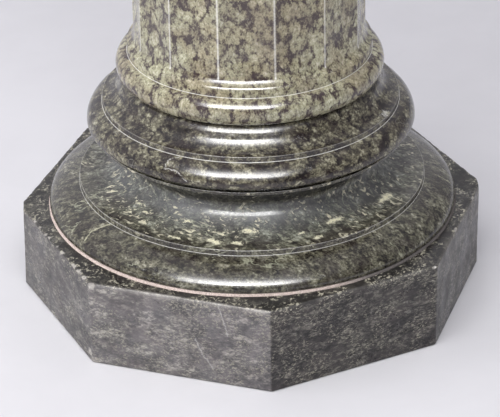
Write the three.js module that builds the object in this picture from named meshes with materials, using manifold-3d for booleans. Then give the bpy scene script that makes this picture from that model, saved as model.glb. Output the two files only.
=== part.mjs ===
// A marble pedestal, in millimetres, +Z up, with its origin at the centre of the plinth's underside.
// From the floor up it is an octagonal plinth, a thin bed of mortar, a turned base disc, a turned
// base ring, a fluted shaft with mouldings at its foot and neck, a turned capital and a top slab.

import * as THREE from 'three';
import { mergeVertices } from 'three/addons/utils/BufferGeometryUtils.js';
import Module from 'manifold-3d';

// The mouldings are set out from the shaft: each width below is how far a moulding stands out from
// the one inside it, and each rise is its height. So the plinth and the top slab follow the shaft.

// Fluted shaft. One arris between flutes stands fluteTurn degrees from -Y, towards +X.
const shaftFootRadius = 84;
const shaftNeckRadius = 74;
const flutedLength = 700;
const fluteCount = 14;
const fluteDepth = 3;
const fluteRunOut = 16;
const fluteTurn = 4.9;
const taperPower = 1.3;

// Foot of the shaft: the sweep out from the flutes, a band and an astragal. The neck sweeps out alike.
const footSweepWidth = 4.7;
const footSweepRise = 7;
const sweepTurn = 60;
const footBandHeight = 7.5;
const footRingWidth = 8;
const footRingUpperRise = 10;
const footRingLowerRise = 9.9;

// Base ring: an ogee that comes out from under the shaft, a fillet and a torus
const ringLedge = 2.4;
const ogeeTopWidth = 3.6;
const ogeeTopRise = 4;
const ogeeTopTurn = 55;
const ogeeSlopeWidth = 1.7;
const ogeeSlopeRise = 3.5;
const ogeeSlopeTurn = 26;
const ogeeHollowWidth = 11.9;
const ogeeHollowRise = 8.1;
const ogeeHollowTurn = 82;
const ringTorusWidth = 11.5;
const ringTorusRise = 14.1;
const ringTorusTurn = 77;
const ringFootSetBack = 3.2;
const ringFootRise = 2.2;
const ringFootTurn = 80;

// Base disc: a lip with a step above it, a scotia, a fillet and a broad torus
const lipSetBack = 2;
const lipHeight = 2.2;
const lipStep = 2.4;
const lipStepHeight = 3.6;
const lipQuirk = 1.2;
const lipOverhang = 21.7;
const scotiaUpperRise = 19.6;
const scotiaUpperTurn = 78;
const scotiaWidth = 34.5;
const scotiaLowerRise = 17.3;
const discTorusWidth = 23;
const discTorusRise = 15.9;
const discTorusTurn = 54;
const discFootSetBack = 0.9;
const discFootRise = 1.7;
const discFootTurn = 60;

// Fillet on the base disc, the base ring and the capital, cut back a little as it rises
const filletHeight = 4;
const filletSetBack = 0.3;

// Mortar bed between the base disc and the plinth, squeezed out round the disc's foot
const bedThickness = 1.6;
const bedMargin = 0.3;
const bedSpread = 1.6;

// Plinth and top slab, both regular octagons with a flat side towards -Y
const octagonSides = 8;
const plinthMargin = 8.7;
const plinthHeight = 65.3;
const plinthCornerRadius = 4;
const slabMargin = 11;
const slabHeight = 30;
const slabCornerRadius = 3;
const wornEdge = 1.2;

// Chips out of the plinth's top edge. Each one's direction is in degrees from -Y towards +X.
const chips = [
  { direction: -22.5, width: 5, depth: 5, drop: 8 },
  { direction: -58, width: 6, depth: 2.6, drop: 2.6 },
  { direction: -48, width: 4, depth: 2.2, drop: 2 },
  { direction: -33, width: 5, depth: 2.4, drop: 3 },
  { direction: 78, width: 5, depth: 2.4, drop: 3 },
  { direction: 101, width: 4, depth: 2.2, drop: 2.2 },
];

// Neck of the shaft: the sweep out to a band and a half-round ring
const neckSweepWidth = 4.5;
const neckSweepRise = 7;
const neckBandHeight = 6;
const neckRingWidth = 6;
const neckRingHeight = 14;

// Capital: a hollow that opens from the neck, a fillet and a broad ovolo under the slab
const capitalLedge = 2.5;
const capitalHollowWidth = 25;
const capitalHollowRise = 26;
const capitalHollowTurn = 85;
const capitalOvoloWidth = 20.7;
const capitalOvoloRise = 20;
const capitalOvoloTurn = 75;
const capitalTopSetBack = 2.5;
const capitalTopRise = 5.3;
const capitalTopTurn = 50;

// Dry joints between the turned pieces and under the slab
const jointGap = 0.3;

// How finely the round work is divided: a profile's chords stray from its arcs by arcTolerance at most
const turnedSegments = 48;
const stepsPerFlute = 4;
const taperSteps = 4;
const arcTolerance = 0.25;
const turnTolerance = 1e-6;

// Radii and widths that follow from these
const footBandRadius = shaftFootRadius + footSweepWidth;
const footArrisRadius = footBandRadius + filletSetBack;
const ringTopRadius = footArrisRadius + ringLedge;
const ringFilletRadius = ringTopRadius + ogeeTopWidth + ogeeSlopeWidth + ogeeHollowWidth;
const ringArrisRadius = ringFilletRadius + filletSetBack;
const ringWidestRadius = ringArrisRadius + ringTorusWidth;
const lipRadius = ringWidestRadius - ringFootSetBack - lipSetBack;
const scotiaThroatRadius = lipRadius - lipOverhang;
const discArrisRadius = scotiaThroatRadius + scotiaWidth + filletSetBack;
const discWidestRadius = discArrisRadius + discTorusWidth;
const plinthAcross = 2 * (discWidestRadius + plinthMargin);
const fluteStartHeight = footRingLowerRise + footRingUpperRise + footBandHeight + footSweepRise;
const neckBandRadius = shaftNeckRadius + neckSweepWidth;
const capitalFootRadius = neckBandRadius + capitalLedge;
const capitalWidestRadius = capitalFootRadius + capitalHollowWidth + filletSetBack + capitalOvoloWidth;
const slabAcross = 2 * (capitalWidestRadius + slabMargin);

// Directions in which a moulding's face looks, in degrees up from straight out
const up = 90;
const down = -90;
const out = 0;
const inward = 180;

const marble = {
  plinth: { color: 0x4d4a47, roughness: 0.3 },
  mortar: { color: 0xcfc4be, roughness: 0.85 },
  disc: { color: 0x5c5e55, roughness: 0.22 },
  ring: { color: 0x665f50, roughness: 0.22 },
  shaft: { color: 0x948d70, roughness: 0.22 },
  capital: { color: 0x665f50, roughness: 0.22 },
  slab: { color: 0x4d4a47, roughness: 0.25 },
};

function point(radius, height) {
  return new THREE.Vector2(radius, height);
}

// The part of an ellipse between two points of a profile. The turns are the angles in degrees, from
// the outward direction, at which it leaves the first point's side and reaches the second point's.
function arc(from, to, startTurn, endTurn) {
  const start = THREE.MathUtils.degToRad(startTurn);
  const end = THREE.MathUtils.degToRad(endTurn);
  const halfWidth = (to.x - from.x) / (Math.cos(end) - Math.cos(start));
  const halfHeight = (to.y - from.y) / (Math.sin(end) - Math.sin(start));
  const largest = Math.max(Math.abs(halfWidth), Math.abs(halfHeight));
  const stepTurn = 2 * Math.acos(1 - arcTolerance / largest);
  const steps = Math.ceil(Math.abs(end - start) / stepTurn);
  const points = [];
  for (let i = 1; i <= steps; i++) {
    const turn = start + ((end - start) * i) / steps;
    points.push(point(
      from.x + halfWidth * (Math.cos(turn) - Math.cos(start)),
      from.y + halfHeight * (Math.sin(turn) - Math.sin(start)),
    ));
  }
  return points;
}

// A profile goes from the axis out along the underside, up the outside and back along the top.
function closed(outline) {
  const bottom = outline[0].y;
  const top = outline[outline.length - 1].y;
  return [point(0, bottom), ...outline, point(0, top)];
}

function turned(outline, segments = turnedSegments) {
  return new THREE.LatheGeometry(closed(outline), segments).rotateX(Math.PI / 2);
}

function octagonShape(across, cornerRadius) {
  const sideTurn = (2 * Math.PI) / octagonSides;
  const halfSide = (across / 2) * Math.tan(sideTurn / 2);
  const trim = cornerRadius * Math.tan(sideTurn / 2);
  const centre = new THREE.Vector2();
  const onSide = (along, facing) => new THREE.Vector2(across / 2, along).rotateAround(centre, facing);
  const first = onSide(trim - halfSide, 0);
  const shape = new THREE.Shape().moveTo(first.x, first.y);
  for (let i = 0; i < octagonSides; i++) {
    const end = onSide(halfSide - trim, i * sideTurn);
    const corner = onSide(halfSide, i * sideTurn);
    const next = onSide(trim - halfSide, (i + 1) * sideTurn);
    shape.lineTo(end.x, end.y);
    shape.quadraticCurveTo(corner.x, corner.y, next.x, next.y);
  }
  return shape;
}

// An octagonal slab from height 0 up, with all its edges a little worn.
function octagonSlab(across, height, cornerRadius) {
  const slab = new THREE.ExtrudeGeometry(octagonShape(across - 2 * wornEdge, cornerRadius), {
    depth: height - 2 * wornEdge,
    bevelThickness: wornEdge,
    bevelSize: wornEdge,
    bevelSegments: 1,
    curveSegments: 2,
  });
  return slab.translate(0, 0, wornEdge);
}

function mesh(name, geometry, look, height) {
  const made = new THREE.Mesh(geometry, new THREE.MeshStandardMaterial({ metalness: 0, ...look }));
  made.name = name;
  made.position.z = height;
  return made;
}

const wasm = await Module();
wasm.setup();

function toSolid(geometry) {
  const bare = geometry.clone();
  bare.deleteAttribute('normal');
  bare.deleteAttribute('uv');
  const merged = mergeVertices(bare);
  return new wasm.Manifold(new wasm.Mesh({
    numProp: 3,
    vertProperties: merged.attributes.position.array,
    triVerts: new Uint32Array(merged.index.array),
  }));
}

function toGeometry(solid) {
  const { vertProperties, triVerts } = solid.getMesh();
  const geometry = new THREE.BufferGeometry();
  geometry.setAttribute('position', new THREE.BufferAttribute(vertProperties, 3));
  geometry.setIndex(new THREE.BufferAttribute(triVerts, 1));
  geometry.computeVertexNormals();
  return geometry;
}

// The stone that a chip has lost: a rough lump centred on the plinth's top edge.
function chipLump({ direction, width, depth, drop }) {
  const facing = THREE.MathUtils.degToRad(direction);
  const sideTurn = (2 * Math.PI) / octagonSides;
  const fromSideCentre = facing - Math.round(facing / sideTurn) * sideTurn;
  const toEdge = plinthAcross / 2 / Math.cos(fromSideCentre);
  const lump = new THREE.IcosahedronGeometry(1, 0).scale(width / 2, depth, drop).rotateZ(facing);
  return lump.translate(toEdge * Math.sin(facing), -toEdge * Math.cos(facing), plinthHeight);
}

function plinthGeometry() {
  let solid = toSolid(octagonSlab(plinthAcross, plinthHeight, plinthCornerRadius));
  for (const chip of chips) solid = solid.subtract(toSolid(chipLump(chip)));
  return toGeometry(solid);
}

function bedGeometry() {
  const rim = discWidestRadius - discFootSetBack + bedMargin;
  return turned([point(rim + bedSpread, 0), point(rim, bedThickness)]);
}

function fillet(arris) {
  return point(arris.x - filletSetBack, arris.y + filletHeight);
}

function baseDiscOutline() {
  const foot = point(discWidestRadius - discFootSetBack, 0);
  const widest = point(discWidestRadius, discFootRise);
  const arris = point(discArrisRadius, widest.y + discTorusRise);
  const filletTop = fillet(arris);
  const throat = point(scotiaThroatRadius, filletTop.y + scotiaLowerRise);
  const underLip = point(lipRadius - lipQuirk, throat.y + scotiaUpperRise);
  const lipTop = point(lipRadius, underLip.y + lipHeight);
  return [
    foot,
    ...arc(foot, widest, -discFootTurn, out),
    ...arc(widest, arris, out, discTorusTurn),
    filletTop,
    ...arc(filletTop, throat, inward + up, inward),
    ...arc(throat, underLip, inward, inward - scotiaUpperTurn),
    point(lipRadius, underLip.y),
    lipTop,
    point(lipTop.x - lipStep, lipTop.y),
    point(lipTop.x - lipStep, lipTop.y + lipStepHeight),
  ];
}

function baseRingOutline() {
  const foot = point(ringWidestRadius - ringFootSetBack, 0);
  const widest = point(ringWidestRadius, ringFootRise);
  const arris = point(ringArrisRadius, widest.y + ringTorusRise);
  const filletTop = fillet(arris);
  const hollowEnd = point(filletTop.x - ogeeHollowWidth, filletTop.y + ogeeHollowRise);
  const shoulder = point(hollowEnd.x - ogeeSlopeWidth, hollowEnd.y + ogeeSlopeRise);
  const top = point(shoulder.x - ogeeTopWidth, shoulder.y + ogeeTopRise);
  return [
    foot,
    ...arc(foot, widest, -ringFootTurn, out),
    ...arc(widest, arris, out, ringTorusTurn),
    filletTop,
    ...arc(filletTop, hollowEnd, inward + ogeeHollowTurn, inward + ogeeSlopeTurn),
    shoulder,
    ...arc(shoulder, top, ogeeSlopeTurn, ogeeTopTurn),
  ];
}

// The shaft's profile before its flutes are cut. Its radius falls from foot to neck, slowly at first.
function shaftOutline() {
  const seat = point(footArrisRadius, 0);
  const widest = point(footArrisRadius + footRingWidth, footRingLowerRise);
  const arris = point(footArrisRadius, widest.y + footRingUpperRise);
  const band = point(footBandRadius, arris.y + footBandHeight);
  const fluteStart = point(shaftFootRadius, fluteStartHeight);
  const fluteEnd = point(shaftNeckRadius, fluteStart.y + flutedLength);
  const neckBand = point(neckBandRadius, fluteEnd.y + neckSweepRise);
  const neckBandTop = point(neckBandRadius, neckBand.y + neckBandHeight);
  const neckWidest = point(neckBandRadius + neckRingWidth, neckBandTop.y + neckRingHeight / 2);
  const neckTop = point(neckBandRadius, neckBandTop.y + neckRingHeight);
  const heights = [fluteRunOut / 2, fluteRunOut];
  for (let i = 1; i < taperSteps; i++) heights.push((flutedLength * i) / taperSteps);
  heights.push(flutedLength - fluteRunOut, flutedLength - fluteRunOut / 2);
  const along = heights.map((height) => {
    const narrowing = (shaftFootRadius - shaftNeckRadius) * (height / flutedLength) ** taperPower;
    return point(shaftFootRadius - narrowing, fluteStart.y + height);
  });
  return [
    seat,
    ...arc(seat, widest, down, out),
    ...arc(widest, arris, out, up),
    band,
    ...arc(band, fluteStart, inward + sweepTurn, inward),
    ...along,
    fluteEnd,
    ...arc(fluteEnd, neckBand, inward, inward - sweepTurn),
    neckBandTop,
    ...arc(neckBandTop, neckWidest, down, out),
    ...arc(neckWidest, neckTop, out, up),
  ];
}

// How deep a flute is at a height above the start of the fluted length: it dies out at both ends.
function fluteDepthAt(height) {
  const toEnd = Math.min(height, flutedLength - height);
  return fluteDepth * THREE.MathUtils.smoothstep(toEnd, 0, fluteRunOut);
}

function shaftGeometry() {
  const geometry = turned(shaftOutline(), fluteCount * stepsPerFlute);
  const position = geometry.attributes.position;
  const flutePitch = (2 * Math.PI) / fluteCount;
  for (let i = 0; i < position.count; i++) {
    const x = position.getX(i);
    const y = position.getY(i);
    const radius = Math.hypot(x, y);
    const depth = fluteDepthAt(position.getZ(i) - fluteStartHeight);
    if (radius === 0 || depth === 0) continue;
    const turn = Math.atan2(x, -y) / flutePitch;
    const acrossFlute = 2 * (turn - Math.floor(turn + turnTolerance)) - 1;
    const carved = 1 - (depth * (1 - acrossFlute ** 2)) / radius;
    position.setX(i, x * carved);
    position.setY(i, y * carved);
  }
  return geometry.rotateZ(THREE.MathUtils.degToRad(fluteTurn));
}

function capitalOutline() {
  const foot = point(capitalFootRadius, 0);
  const hollowEnd = point(foot.x + capitalHollowWidth, capitalHollowRise);
  const filletTop = point(hollowEnd.x + filletSetBack, hollowEnd.y + filletHeight);
  const widest = point(capitalWidestRadius, filletTop.y + capitalOvoloRise);
  const top = point(widest.x - capitalTopSetBack, widest.y + capitalTopRise);
  return [
    foot,
    ...arc(foot, hollowEnd, inward, inward - capitalHollowTurn),
    filletTop,
    ...arc(filletTop, widest, -capitalOvoloTurn, out),
    ...arc(widest, top, out, capitalTopTurn),
  ];
}

function heightOf(outline) {
  return outline[outline.length - 1].y;
}

const pedestal = new THREE.Group();
let level = 0;
pedestal.add(mesh('plinth', plinthGeometry(), marble.plinth, level));
level += plinthHeight;
pedestal.add(mesh('mortar_bed', bedGeometry(), marble.mortar, level));
level += bedThickness;
pedestal.add(mesh('base_disc', turned(baseDiscOutline()), marble.disc, level));
level += heightOf(baseDiscOutline()) + jointGap;
pedestal.add(mesh('base_ring', turned(baseRingOutline()), marble.ring, level));
level += heightOf(baseRingOutline()) + jointGap;
pedestal.add(mesh('shaft', shaftGeometry(), marble.shaft, level));
level += heightOf(shaftOutline()) + jointGap;
pedestal.add(mesh('capital', turned(capitalOutline()), marble.capital, level));
level += heightOf(capitalOutline()) + jointGap;
pedestal.add(mesh('top_slab', octagonSlab(slabAcross, slabHeight, slabCornerRadius), marble.slab, level));

export default pedestal;
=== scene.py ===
import math
import random

import bpy
import numpy as np
from mathutils import Matrix, Vector, noise


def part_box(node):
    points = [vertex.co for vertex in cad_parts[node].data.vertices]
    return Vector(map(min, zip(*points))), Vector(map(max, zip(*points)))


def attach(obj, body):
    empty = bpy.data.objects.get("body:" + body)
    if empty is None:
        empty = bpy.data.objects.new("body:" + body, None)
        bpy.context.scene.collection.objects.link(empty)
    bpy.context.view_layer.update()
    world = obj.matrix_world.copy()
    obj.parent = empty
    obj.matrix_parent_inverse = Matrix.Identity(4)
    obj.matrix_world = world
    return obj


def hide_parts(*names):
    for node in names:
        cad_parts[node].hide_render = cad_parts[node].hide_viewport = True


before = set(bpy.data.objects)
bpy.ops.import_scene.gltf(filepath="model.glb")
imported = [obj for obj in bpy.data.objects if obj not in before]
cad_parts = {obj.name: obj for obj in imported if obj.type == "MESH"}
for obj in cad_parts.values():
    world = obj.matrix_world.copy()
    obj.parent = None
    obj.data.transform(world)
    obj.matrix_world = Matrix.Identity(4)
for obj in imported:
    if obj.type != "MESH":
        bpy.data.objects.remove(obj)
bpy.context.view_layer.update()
print("frame loaded:", ", ".join(sorted(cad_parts)))

mm = 0.001


def heading(turn):
    # level direction at a turn in degrees from -Y towards +X
    return Vector((math.sin(math.radians(turn)), -math.cos(math.radians(turn)), 0))


# Camera, from the lines of the plinth and the mouldings in the photograph

photoView = {
    "standsRound": 18.5392,  # degrees round from -Y, towards +X
    "place": (0.0078, -1.5934, 0.9256),  # metres, before that turn
    "looksDown": 28.7329,
    "looksAside": -0.3492,
    "leans": 1.0811,
    "focalPixels": 2417.328,
    "pixelsWide": 500,
}


def makeCamera(spec):
    down, aside, lean = (math.radians(spec[k]) for k in ("looksDown", "looksAside", "leans"))
    ahead = Vector((math.sin(aside) * math.cos(down), math.cos(aside) * math.cos(down), -math.sin(down)))
    level = Vector((math.cos(aside), -math.sin(aside), 0))
    below = ahead.cross(level)
    right = level * math.cos(lean) + below * math.sin(lean)
    under = below * math.cos(lean) - level * math.sin(lean)
    data = bpy.data.cameras.new("photoCamera")
    data.sensor_width = 36
    data.lens = spec["focalPixels"] / spec["pixelsWide"] * data.sensor_width
    data.clip_start, data.clip_end = 0.05, 60
    camera = bpy.data.objects.new("photoCamera", data)
    bpy.context.scene.collection.objects.link(camera)
    facing = Matrix((right, -under, -ahead)).transposed().to_4x4()
    stand = Matrix.Rotation(math.radians(spec["standsRound"]), 4, "Z")
    camera.matrix_world = stand @ Matrix.Translation(spec["place"]) @ facing
    bpy.context.scene.camera = camera
    print("camera at", [round(v, 3) for v in camera.matrix_world.translation])


makeCamera(photoView)


# Outlines of the turned pieces: points (radius, height, ease, worn), in millimetres. Ease rounds an
# arris by that much, and worn makes it paler.

flatLength, flatStep = 20.0, 12.0  # a flat longer than the first is divided into steps of the second


def at(radius, height, ease=0.0, wearAndGlint=0.0):
    return (radius, height, ease, wearAndGlint)


def sweepTo(start, end, startTurn, endTurn, step=1.0):
    # part of an ellipse from start to end, without the start; turns in degrees from straight out
    a, b = math.radians(startTurn), math.radians(endTurn)
    wide = (end[0] - start[0]) / (math.cos(b) - math.cos(a))
    high = (end[1] - start[1]) / (math.sin(b) - math.sin(a))
    count = max(4, round(max(abs(wide), abs(high)) * abs(b - a) / step))
    made = []
    for i in range(1, count + 1):
        t = a + (b - a) * i / count
        made.append(at(start[0] + wide * (math.cos(t) - math.cos(a)),
                       start[1] + high * (math.sin(t) - math.sin(a))))
    made[-1] = end
    return made


def easeArrises(outline):
    made = []
    for i, (r, z, ease, wearAndGlint) in enumerate(outline):
        if not ease:
            made.append((r, z, wearAndGlint))
            continue
        here = np.array((r, z))
        before, after = np.array(outline[i - 1][:2]) - here, np.array(outline[i + 1][:2]) - here
        ease = min(ease, 0.45 * np.hypot(*before), 0.45 * np.hypot(*after))
        first, last = here + before / np.hypot(*before) * ease, here + after / np.hypot(*after) * ease
        for t in (0, 0.2, 0.4, 0.5, 0.6, 0.8, 1):
            p = first * (1 - t) ** 2 + here * 2 * t * (1 - t) + last * t * t
            made.append((p[0], p[1], wearAndGlint * (1 - abs(2 * t - 1) ** 3)))
    return made


def divide(outline, longest):
    # no step along the outline longer than this; flat undersides and tops near the axis are coarser
    made = [outline[0]]
    for a, b in zip(outline, outline[1:]):
        gap = math.hypot(b[0] - a[0], b[1] - a[1])
        flat = abs(b[1] - a[1]) < 1e-6 and gap > flatLength
        count = max(1, math.ceil(gap / (flatStep if flat else longest)))
        for i in range(1, count + 1):
            made.append(tuple(u + (v - u) * i / count for u, v in zip(a, b)))
    return made


def closeOutline(outline, longest):
    eased = easeArrises([at(0, outline[0][1])] + outline + [at(0, outline[-1][1])])
    return divide(eased, longest)


def ripple(points, size, height, seed):
    # slight unevenness of hand polishing, in millimetres
    shift = Vector((seed * 3.1, seed * 1.7, seed * 0.9))
    return np.array([noise.noise(Vector(p) / size + shift) for p in points]) * height


def makeMesh(name, points, faces, wearAndGlint, material, node):
    mesh = bpy.data.meshes.new(name)
    mesh.from_pydata((points * mm).tolist(), [], faces)
    mesh.polygons.foreach_set("use_smooth", [True] * len(mesh.polygons))
    layer = mesh.attributes.new("wearAndGlint", "FLOAT", "POINT")
    layer.data.foreach_set("value", np.clip(wearAndGlint, -1, 1).astype(np.float32))
    mesh.materials.append(material)
    mesh.update()
    piece = bpy.data.objects.new(name, mesh)
    bpy.context.scene.collection.objects.link(piece)
    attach(piece, "root")
    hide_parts(node)
    print(name, "faces", len(faces))


def turnPoints(outline, turns):
    # rings of points about the axis; the outline's two ends lie on it and are left out
    r = np.array([p[0] for p in outline[1:-1]])
    z = np.array([p[1] for p in outline[1:-1]])
    wearAndGlint = np.array([p[2] for p in outline[1:-1]])
    x = np.outer(r, np.sin(turns))
    y = -np.outer(r, np.cos(turns))
    points = np.stack([x, y, np.repeat(z[:, None], len(turns), 1)], 2)
    return points, np.repeat(wearAndGlint[:, None], len(turns), 1)


def ringFaces(rings, around):
    # point 0 and the last one are on the axis, with the rings between them
    faces = []
    for k in range(rings - 1):
        low, high = 1 + k * around, 1 + (k + 1) * around
        for i in range(around):
            j = (i + 1) % around
            faces.append((low + i, low + j, high + j, high + i))
    top = 1 + rings * around
    last = 1 + (rings - 1) * around
    for i in range(around):
        j = (i + 1) % around
        faces.append((0, 1 + j, 1 + i))
        faces.append((top, last + i, last + j))
    return faces


def makeTurned(node, outline, look, material, turns=None, shape=None):
    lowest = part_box(node)[0].z / mm
    closed = closeOutline(outline, look["longest"])
    if turns is None:
        turns = np.radians(np.arange(look["around"]) * 360 / look["around"])
    points, wearAndGlint = turnPoints(closed, turns)
    if shape:
        points, wearAndGlint = shape(points, wearAndGlint)
    rings, around = wearAndGlint.shape
    flat = points.reshape(-1, 3)
    radius = np.hypot(flat[:, 0], flat[:, 1])
    wave = ripple(flat, look["rippleSize"], look["rippleHeight"], look["seed"]) - look["rippleHeight"]
    flat = flat * np.stack([1 + wave / radius, 1 + wave / radius, np.ones(len(radius))], 1)
    points = np.vstack([[0, 0, closed[0][1]], flat, [0, 0, closed[-1][1]]])
    points[:, 2] += lowest
    wearAndGlint = np.concatenate([[0], wearAndGlint.reshape(-1), [0]])
    makeMesh(node + "_stone", points, ringFaces(rings, around), wearAndGlint, material, node)


# Shader building

def tone(red, green, blue):
    # a paint-chart colour, 0 to 255 in each part, as the renderer's linear one
    parts = [v / 255 for v in (red, green, blue)]
    return [v / 12.92 if v <= 0.04045 else ((v + 0.055) / 1.055) ** 2.4 for v in parts] + [1.0]


def newMaterial(name):
    material = bpy.data.materials.new(name)
    material.use_nodes = True
    material.node_tree.nodes.clear()
    return material, material.node_tree


def addNode(tree, kind, inputs=None, output=0, **settings):
    node = tree.nodes.new("ShaderNode" + kind)
    for key, value in settings.items():
        setattr(node, key, value)
    for key, value in (inputs or {}).items():
        if isinstance(value, bpy.types.NodeSocket):
            tree.links.new(value, node.inputs[key])
        else:
            node.inputs[key].default_value = value
    return node.outputs[output] if len(node.outputs) else node


def calc(tree, operation, *values):
    return addNode(tree, "Math", dict(enumerate(values)), operation=operation)


def spread(tree, value, low, high, toLow=0.0, toHigh=1.0):
    return addNode(tree, "MapRange", {"Value": value, "From Min": low, "From Max": high, "To Min": toLow,
                                      "To Max": toHigh}, interpolation_type="SMOOTHSTEP")


def blendTones(tree, share, first, second, kind="MIX"):
    return addNode(tree, "Mix", {0: share, 6: first, 7: second}, output=2, data_type="RGBA", blend_type=kind)


def toneScale(tree, value, stops):
    node = tree.nodes.new("ShaderNodeValToRGB")
    tree.links.new(value, node.inputs[0])
    for i, (place, colour) in enumerate(stops):
        stop = node.color_ramp.elements[i] if i < 2 else node.color_ramp.elements.new(place)
        stop.position = place
        stop.color = tone(*colour)
    return node.outputs[0]


def cloud(tree, where, scale, detail=4.0, rough=0.6, twist=0.0, output=0):
    return addNode(tree, "TexNoise", {"Vector": where, "Scale": scale, "Detail": detail, "Roughness": rough,
                                      "Distortion": twist}, output=output)


def product(tree, *values):
    made = values[0]
    for value in values[1:]:
        made = calc(tree, "MULTIPLY", made, value)
    return made


def offMiddle(tree, value):
    # how far a value from 0 to 1 is from a half
    return calc(tree, "ABSOLUTE", calc(tree, "SUBTRACT", value, 0.5))


def jostle(tree, where, amount, scale=420.0, detail=3.0, rough=0.65):
    # points pushed about by a cloud, each by up to half the amount, in metres
    push = cloud(tree, where, scale, detail, rough, output=1)
    offset = addNode(tree, "VectorMath", {0: push, 1: (0.5, 0.5, 0.5)}, operation="SUBTRACT")
    return addNode(tree, "VectorMath", {0: offset, 1: (amount,) * 3, 2: where}, operation="MULTIPLY_ADD")


def dotWith(tree, vector, direction):
    return addNode(tree, "VectorMath", {0: vector, 1: direction}, output=1, operation="DOT_PRODUCT")


def betweenHeights(tree, height, low, high, softLow, softHigh):
    # 1 between two heights and 0 beyond them, all in millimetres
    rising = spread(tree, height, low * mm, (low + softLow) * mm)
    falling = spread(tree, height, (high - softHigh) * mm, high * mm, 1.0, 0.0)
    return product(tree, rising, falling)


def alongStrokes(tree, place, strokes, ragged):
    # how near a point is to listed marks: 1 on them, 0 beyond their width. A mark is a row of
    # (turn in degrees, radius, height), in millimetres, with its width.
    moved = jostle(tree, place, ragged)
    nearest = 0.0
    for stroke in strokes:
        spots = [heading(turn) * radius * mm + Vector((0, 0, height * mm))
                 for turn, radius, height in stroke["line"]]
        for a, b in zip(spots, spots[1:]):
            reach = b - a
            fromA = addNode(tree, "VectorMath", {0: moved, 1: a}, operation="SUBTRACT")
            share = addNode(tree, "Clamp", {"Value": dotWith(tree, fromA, reach / reach.length_squared)})
            foot = addNode(tree, "VectorMath", {0: reach, "Scale": share}, operation="SCALE")
            gap = addNode(tree, "VectorMath", {0: fromA, 1: foot}, output=1, operation="DISTANCE")
            nearest = calc(tree, "MAXIMUM", spread(tree, gap, stroke["width"] * mm, 0.0), nearest)
    return nearest


# Marble. The same layers make all four kinds; what differs stands in each piece's own look.

plainStone = {
    "shift": (0, 0, 0), "grainTurn": (0, 0, 0), "grainStretch": (1, 1, 1),  # where and how the grain runs
    "fleckTurn": 0, "fleckStretch": (1, 1, 1), "marks": [],
    "dustAndLight": (0, 0),  # dust and painted light on one side: the way it faces, in degrees from -Y towards +X, and its share
    "polishedTop": (0, 0),  # height in millimetres, and its share
    "dullBand": (0, 10), "duller": 0.0, "sheenGain": (1, 1, 1, 1), "sheen": (0, 0),  # a band by its heights: duller, and with painted sheen
    "hollowShade": (0, 0, 0),  # painted shade: two heights, and its share
    "coat": 0.25, "coatRough": 0.05, "pitShare": 0.2, "ringShare": 0.8, "waveShare": 0.5, "bumpStrength": 0.2,
}
marble = {
    "lumpRagged": 0.004,  # metres that the rims of the lumps stray
    "smallLumps": 2.3, "smallLumpShare": 0.6,  # the second size of lump is finer and fainter
    "lumpGap": (0.44, 0.8), "lumpLift": 0.36,  # where the dark stone between lumps starts and is darkest
    "driftRange": (0.36, 0.64), "shadowRange": (0.49, 0.57),
    # dust, with painted light, on the side that faces the lamps
    "dustAndLightFacing": (0.76, 0.97), "dustAndLightScale": 45.0, "dustAndLightPatches": (0.35, 0.65, 0.5, 1.0),
    "paintedLightGain": (2.36, 2.34, 2.4, 1), "dustCover": 0.2, "dustTone": (188, 186, 188),
    # the spread, heights and colour of the painted milky sheen on a band
    "sheenScale": 30.0, "sheenRange": (0.3, 0.65), "sheenHeights": (0.0885, 0.096), "sheenTone": (150, 154, 158),
    "topTone": (150, 152, 140), "fleckSoft": 0.07, "fleckArea": (0.4, 0.58), "fleckFade": (-0.004, 0.002),
    "veinArea": (0.5, 0.6),
    # the first tone below is the colour of painted shade in a hollow
    "hollowShadeTone": (24, 24, 25), "bruiseScale": 700.0, "brokenRange": (0.36, 0.56), "brokenLeast": 0.6,
    "smudgeScale": 38.0, "smudgeRange": (0.35, 0.68), "wornRough": 0.35, "grainRough": 0.06,
    "scratchTurn": (0.4, 0.9, 0.3), "scratchStretch": (1, 14, 1), "scratchScale": 60.0,
    "scratchWidth": 0.006, "scratchDepth": 0.5,
    "ringScale": 330.0, "waveScale": 55.0, "reliefHeight": 0.0004, "glassy": 1.5,
}


def stoneSpace(tree, look):
    # the stone's own grain direction: turned, stretched, then bent by a slow cloud
    place = addNode(tree, "TexCoord", output=3)
    turned = addNode(tree, "Mapping", {"Vector": place, "Location": look["shift"],
                                       "Rotation": [math.radians(v) for v in look["grainTurn"]],
                                       "Scale": look["grainStretch"]})
    bent = jostle(tree, turned, look["bendAmount"], look["bendScale"], 2.0, 0.5)
    return place, turned, bent


def mixStone(tree, look, turned, bent):
    # broad clouds, clumps and fine grain add up to one value
    patches = cloud(tree, bent, look["patchScale"])
    clumps = cloud(tree, bent, look["clumpScale"], 3.0, 0.6, 0.5)
    grains = cloud(tree, turned, look["grainScale"], 2.0)
    mixed = calc(tree, "MULTIPLY_ADD", grains, look["grainShare"], patches)
    mixed = calc(tree, "MULTIPLY_ADD", clumps, look["clumpShare"], mixed)
    middle = 0.5 * (1 + look["grainShare"] + look["clumpShare"])
    value = addNode(tree, "MapRange", {"Value": mixed, "From Min": middle - look["contrast"],
                                       "From Max": middle + look["contrast"]})
    # rounded lumps of two sizes, with darker stone between them
    ragged = jostle(tree, bent, marble["lumpRagged"])
    loose = product(tree, calc(tree, "SUBTRACT", patches, 0.5), look["lumpUneven"])
    for size, share in ((1.0, 1.0), (marble["smallLumps"], marble["smallLumpShare"])):
        lump = addNode(tree, "TexVoronoi", {"Vector": ragged, "Scale": look["lumpScale"] * size})
        gap = spread(tree, calc(tree, "ADD", lump, loose), *marble["lumpGap"])
        value = calc(tree, "MULTIPLY_ADD", gap, -share * look["lumpShare"], value)
    value = calc(tree, "ADD", value, look["lumpShare"] * marble["lumpLift"])
    return toneScale(tree, value, look["tones"]), grains


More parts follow.
